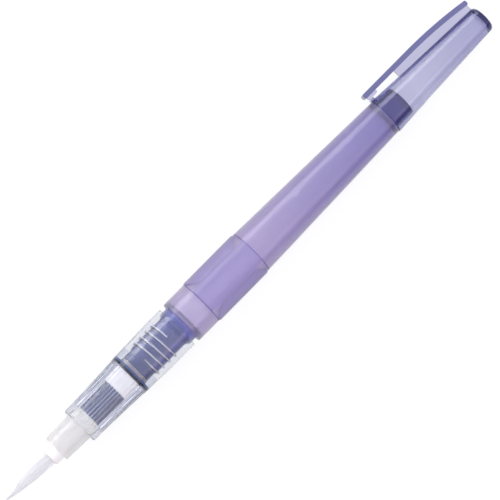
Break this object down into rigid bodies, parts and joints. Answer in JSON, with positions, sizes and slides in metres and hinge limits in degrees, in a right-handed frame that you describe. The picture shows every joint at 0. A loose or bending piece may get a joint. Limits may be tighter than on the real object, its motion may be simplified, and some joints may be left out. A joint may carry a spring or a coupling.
{
  "type": "water brush pen",
  "caption": "Slim squeeze-barrel water brush pen with a pointed soft brush, clear ribbed grip and its clip cap posted on the tail.",
  "frame": {"origin": "on the pen's axis at the middle of the barrel's plain front band", "axes": "-X along the axis to the brush's tip, +X to the posted cap's closed end, +Y to the clip, +Z out of the barrel's marked panel"},
  "size_m": [0.1744, 0.0147, 0.0133],
  "materials": {
    "bristle": "fine white synthetic bristle",
    "white_plastic": "moulded white plastic",
    "clear_plastic": "clear moulded plastic",
    "smoke_plastic": "dark blue-grey moulded plastic",
    "felt": "white bonded fibre",
    "seal_rubber": "pale soft seal",
    "lavender_plastic": "translucent lavender squeeze plastic",
    "tinted_plastic": "violet-tinted clear plastic"
  },
  "bodies": {
    "barrel": {"barrel": "lavender_plastic", "neck_stopper": "smoke_plastic"},
    "seal": {"seal_ring": "seal_rubber"},
    "head": {"brush_tuft": "bristle", "tuft_holder": "white_plastic", "ferrule": "clear_plastic", "grip_nose": "clear_plastic", "feed_comb": "smoke_plastic", "wick_rod": "felt", "wick_pad": "felt", "feed_flange": "smoke_plastic", "screw_collar": "clear_plastic"},
    "cap": {"cap": "tinted_plastic"}
  },
  "joints": [
    {"name": "head_travel", "type": "slide", "parent": "barrel", "child": "seal", "axis": [-1, 0, 0], "range_m": [0, 0.00816]},
    {"name": "head_turn", "type": "hinge", "parent": "seal", "child": "head", "pos_m": [-0.0132, 0, 0], "axis": [-1, 0, 0], "range_deg": [0, 1440]},
    {"name": "cap_pull", "type": "slide", "parent": "barrel", "child": "cap", "axis": [1, 0, 0], "range_m": [0, 0.02]}
  ],
  "couplings": [
    {"joint": "head_turn", "follows": "head_travel", "rad_per_m": 3080}
  ]
}
